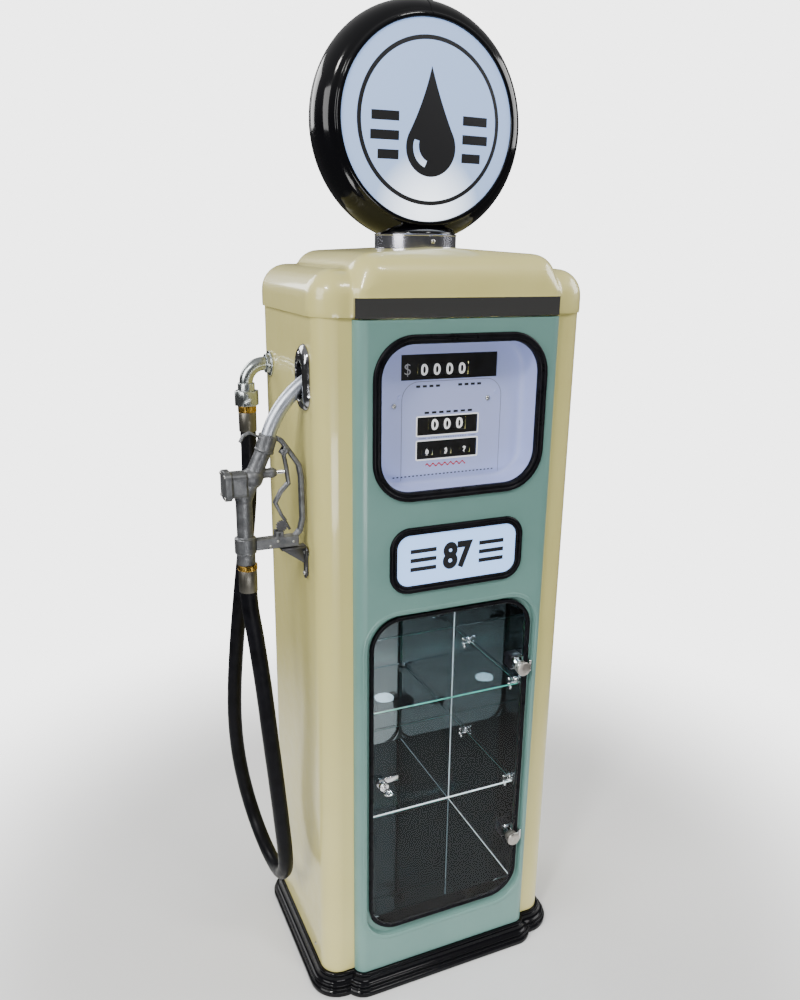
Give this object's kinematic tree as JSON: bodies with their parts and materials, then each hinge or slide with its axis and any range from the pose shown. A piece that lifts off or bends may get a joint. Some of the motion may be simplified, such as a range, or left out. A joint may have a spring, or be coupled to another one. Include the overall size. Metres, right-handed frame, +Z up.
{
  "type": "retro fuel pump display cabinet",
  "caption": "Retro fuel dispenser cabinet with lit globe, glazed counter dial, lit sign, glass-door display case, hose and trigger nozzle.",
  "frame": {"origin": "on the floor under the middle of the cream casing seen from above", "axes": "+Z up, the front with the dial and door faces -Y, +X to the right seen from the front"},
  "size_m": [0.719, 0.4449, 1.9775],
  "materials": {
    "base_black": "glossy black moulded skirt",
    "cream_paint": "glossy cream enamel",
    "bare_sheet": "plain galvanised sheet",
    "teal_paint": "satin pale teal enamel",
    "bright_trim": "polished stainless",
    "globe_black": "glossy black moulding",
    "lens_white": "frosted, lit from behind",
    "lamp_white": "lamp diffuser",
    "screw_steel": "plated",
    "glazing_rubber": "semi-gloss black rubber",
    "clear_glass": "clear float glass",
    "housing_grey": "satin light grey",
    "face_white": "printed white plate",
    "counter_black": "fine black moulding",
    "wheel_black": "black drum with white figures",
    "sign_white": "lit acrylic",
    "tinted_mirror": "smoked mirror",
    "shelf_glass": "clear with green edges",
    "chrome_fittings": "polished",
    "hook_iron": "dark grey coated",
    "cast_grey": "fine cast grey",
    "spout_aluminium": "drawn tube",
    "ferrule_steel": "turned steel and brass",
    "zinc_pipe": "bright zinc plate",
    "hose_rubber": "smooth black hose"
  },
  "bodies": {
    "root": {"base_plinth": "base_black", "left_side_panel": "cream_paint", "right_side_panel": "cream_paint", "back_panel": "cream_paint", "top_deck": "bare_sheet", "front_panel": "teal_paint", "trim_strip": "bright_trim", "cap": "cream_paint", "globe_collar": "bright_trim", "globe_body": "globe_black", "globe_bezels": "globe_black", "globe_lenses": "lens_white", "globe_lamp": "lamp_white", "screws": "screw_steel", "dial_gasket": "glazing_rubber", "dial_glass": "clear_glass", "dial_housing": "housing_grey", "dial_face": "face_white", "counter_frame": "counter_black", "ad_gasket": "glazing_rubber", "ad_panel": "sign_white", "ad_lamp": "lamp_white", "back_mirror": "tinted_mirror", "side_mirrors": "tinted_mirror", "floor_mirror": "tinted_mirror", "cabinet_ceiling": "housing_grey", "puck_light": "lamp_white", "glass_shelves": "shelf_glass", "shelf_clips": "chrome_fittings", "door_hinges": "chrome_fittings", "nozzle_boot": "chrome_fittings", "hook_bracket": "hook_iron", "elbow_flange": "zinc_pipe", "hose_elbow": "zinc_pipe", "swivel_nut": "zinc_pipe", "ferrule_top": "ferrule_steel", "hose": "hose_rubber", "mains_inlet": "counter_black"},
    "door": {"door_glass": "clear_glass", "door_edge": "glazing_rubber", "hinge_caps": "chrome_fittings", "lock_barrel": "chrome_fittings"},
    "nozzle": {"nozzle_body": "cast_grey", "nozzle_spout": "spout_aluminium", "nozzle_guard": "cast_grey", "ferrule_nozzle": "ferrule_steel"},
    "lock": {"lock_cam": "chrome_fittings"},
    "lever": {"lever": "cast_grey"},
    "stem": {"stem": "chrome_fittings"},
    "rack": {"hold_open_rack": "hook_iron"},
    "sale_wheel_1_body": {"sale_wheel_1": "wheel_black"},
    "sale_wheel_2_body": {"sale_wheel_2": "wheel_black"},
    "sale_wheel_3_body": {"sale_wheel_3": "wheel_black"},
    "sale_wheel_4_body": {"sale_wheel_4": "wheel_black"},
    "volume_wheel_1_body": {"volume_wheel_1": "wheel_black"},
    "volume_wheel_2_body": {"volume_wheel_2": "wheel_black"},
    "volume_wheel_3_body": {"volume_wheel_3": "wheel_black"},
    "price_wheel_1_body": {"price_wheel_1": "wheel_black"},
    "price_wheel_2_body": {"price_wheel_2": "wheel_black"},
    "price_wheel_3_body": {"price_wheel_3": "wheel_black"}
  },
  "joints": [
    {"name": "door_hinge", "type": "hinge", "parent": "root", "child": "door", "pos_m": [0.183, -0.201, 0.5], "axis": [0, 0, 1], "range_deg": [0, 105]},
    {"name": "lock_turn", "type": "hinge", "parent": "door", "child": "lock", "pos_m": [-0.15, -0.198, 0.503], "axis": [0, 1, 0], "range_deg": [0, 180]},
    {"name": "nozzle_pull", "type": "slide", "parent": "root", "child": "nozzle", "axis": [-1, 0, 0], "range_m": [0, 0.06]},
    {"name": "lever_squeeze", "type": "hinge", "parent": "nozzle", "child": "lever", "pos_m": [-0.3125, -0.105, 1.1895], "axis": [0, 1, 0], "range_deg": [0, 16], "stiffness_Nm_per_rad": 0.6, "springref_deg": -8.59},
    {"name": "stem_press", "type": "slide", "parent": "nozzle", "child": "stem", "axis": [-1, 0, 0], "range_m": [0, 0.012]},
    {"name": "rack_tilt", "type": "hinge", "parent": "nozzle", "child": "rack", "pos_m": [-0.325, -0.105, 1.036], "axis": [0, 1, 0], "range_deg": [-5, 35], "stiffness_Nm_per_rad": 0.02},
    {"name": "sale_wheel_1_turn", "type": "hinge", "parent": "root", "child": "sale_wheel_1_body", "pos_m": [-0.051, -0.1068, 1.332], "axis": [1, 0, 0], "continuous": true},
    {"name": "sale_wheel_2_turn", "type": "hinge", "parent": "root", "child": "sale_wheel_2_body", "pos_m": [-0.025, -0.1068, 1.332], "axis": [1, 0, 0], "continuous": true},
    {"name": "sale_wheel_3_turn", "type": "hinge", "parent": "root", "child": "sale_wheel_3_body", "pos_m": [0.001, -0.1068, 1.332], "axis": [1, 0, 0], "continuous": true},
    {"name": "sale_wheel_4_turn", "type": "hinge", "parent": "root", "child": "sale_wheel_4_body", "pos_m": [0.027, -0.1068, 1.332], "axis": [1, 0, 0], "continuous": true},
    {"name": "volume_wheel_1_turn", "type": "hinge", "parent": "root", "child": "volume_wheel_1_body", "pos_m": [-0.027, -0.1068, 1.228], "axis": [1, 0, 0], "continuous": true},
    {"name": "volume_wheel_2_turn", "type": "hinge", "parent": "root", "child": "volume_wheel_2_body", "pos_m": [-0.001, -0.1068, 1.228], "axis": [1, 0, 0], "continuous": true},
    {"name": "volume_wheel_3_turn", "type": "hinge", "parent": "root", "child": "volume_wheel_3_body", "pos_m": [0.025, -0.1068, 1.228], "axis": [1, 0, 0], "continuous": true},
    {"name": "price_wheel_1_turn", "type": "hinge", "parent": "root", "child": "price_wheel_1_body", "pos_m": [-0.042, -0.1282, 1.176], "axis": [1, 0, 0], "continuous": true},
    {"name": "price_wheel_2_turn", "type": "hinge", "parent": "root", "child": "price_wheel_2_body", "pos_m": [-0.002, -0.1282, 1.176], "axis": [1, 0, 0], "continuous": true},
    {"name": "price_wheel_3_turn", "type": "hinge", "parent": "root", "child": "price_wheel_3_body", "pos_m": [0.038, -0.1282, 1.176], "axis": [1, 0, 0], "continuous": true}
  ],
  "couplings": [
    {"joint": "stem_press", "follows": "lever_squeeze", "m_per_rad": 0.0365},
    {"joint": "sale_wheel_3_turn", "follows": "sale_wheel_4_turn", "ratio": 0.1},
    {"joint": "sale_wheel_2_turn", "follows": "sale_wheel_4_turn", "ratio": 0.01},
    {"joint": "sale_wheel_1_turn", "follows": "sale_wheel_4_turn", "ratio": 0.001},
    {"joint": "volume_wheel_2_turn", "follows": "volume_wheel_3_turn", "ratio": 0.1},
    {"joint": "volume_wheel_1_turn", "follows": "volume_wheel_3_turn", "ratio": 0.01}
  ]
}
